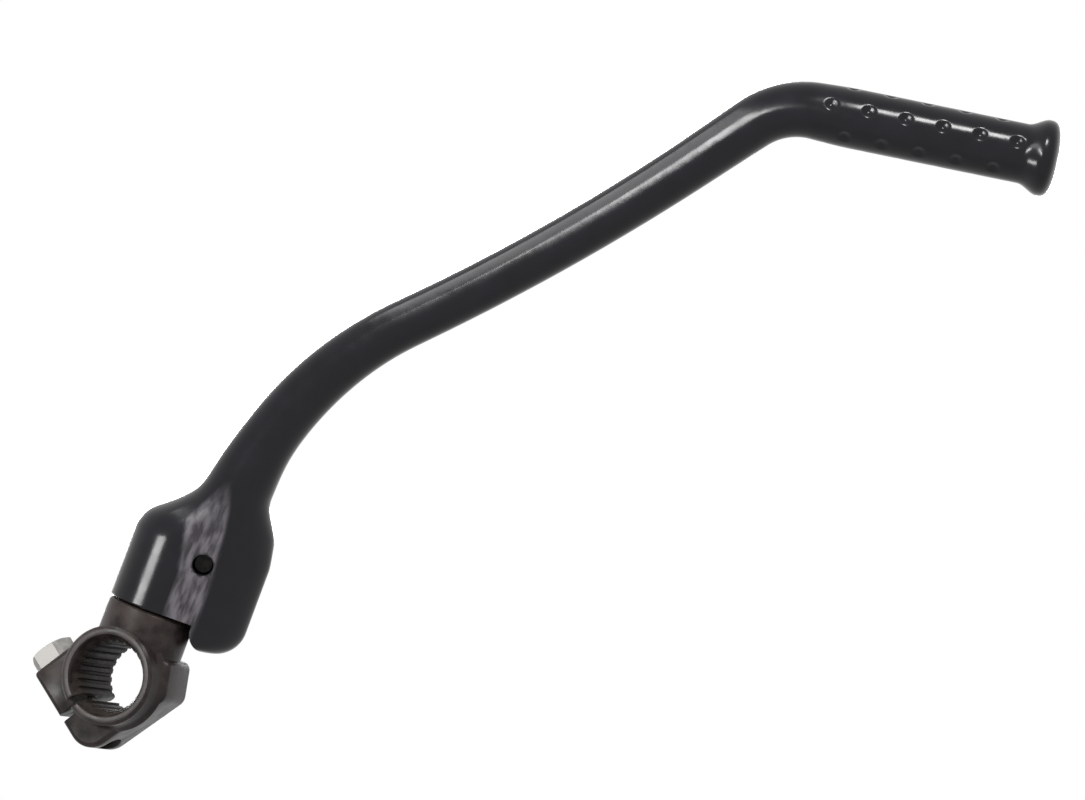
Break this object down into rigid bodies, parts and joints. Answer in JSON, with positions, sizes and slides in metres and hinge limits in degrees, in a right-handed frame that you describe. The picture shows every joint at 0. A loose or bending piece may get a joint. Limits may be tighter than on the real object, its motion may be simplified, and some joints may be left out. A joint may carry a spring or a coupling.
{
  "type": "kick start lever",
  "caption": "Folding kick start lever: split clamp boss with serrated bore and pinch bolt, pivot knuckle, curved tapering shank and dimpled foot peg with a flared end.",
  "frame": {"origin": "where the fold axis of the lever meets the axis of the kick-shaft bore", "axes": "+Y along the bore towards the engine, +Z along the fold axis up into the lever, +X to the side the stowed lever leans to"},
  "size_m": [0.1773, 0.0863, 0.2213],
  "materials": {
    "boss_paint": "thin satin black over a cast-rough forging",
    "arm_paint": "gloss black enamel",
    "pin_steel": "bare hardened steel",
    "bolt_zinc": "bright zinc plate",
    "ball_steel": "polished bearing steel",
    "spring_steel": "oiled spring wire"
  },
  "bodies": {
    "boss": {"shaft_boss": "boss_paint", "pinch_bolt": "bolt_zinc", "detent_spring": "spring_steel"},
    "arm": {"kick_arm": "arm_paint", "retaining_pin": "pin_steel"},
    "ball": {"detent_ball": "ball_steel"}
  },
  "joints": [
    {"name": "fold", "type": "hinge", "parent": "boss", "child": "arm", "pos_m": [0, 0, 0.027], "axis": [0, 0, -1], "range_deg": [0, 114]},
    {"name": "click", "type": "slide", "parent": "boss", "child": "ball", "axis": [0, 0, 1], "range_m": [0, 0.0004], "stiffness_N_per_m": 1000, "springref_m": 0.002, "deforming": ["detent_spring"]}
  ]
}
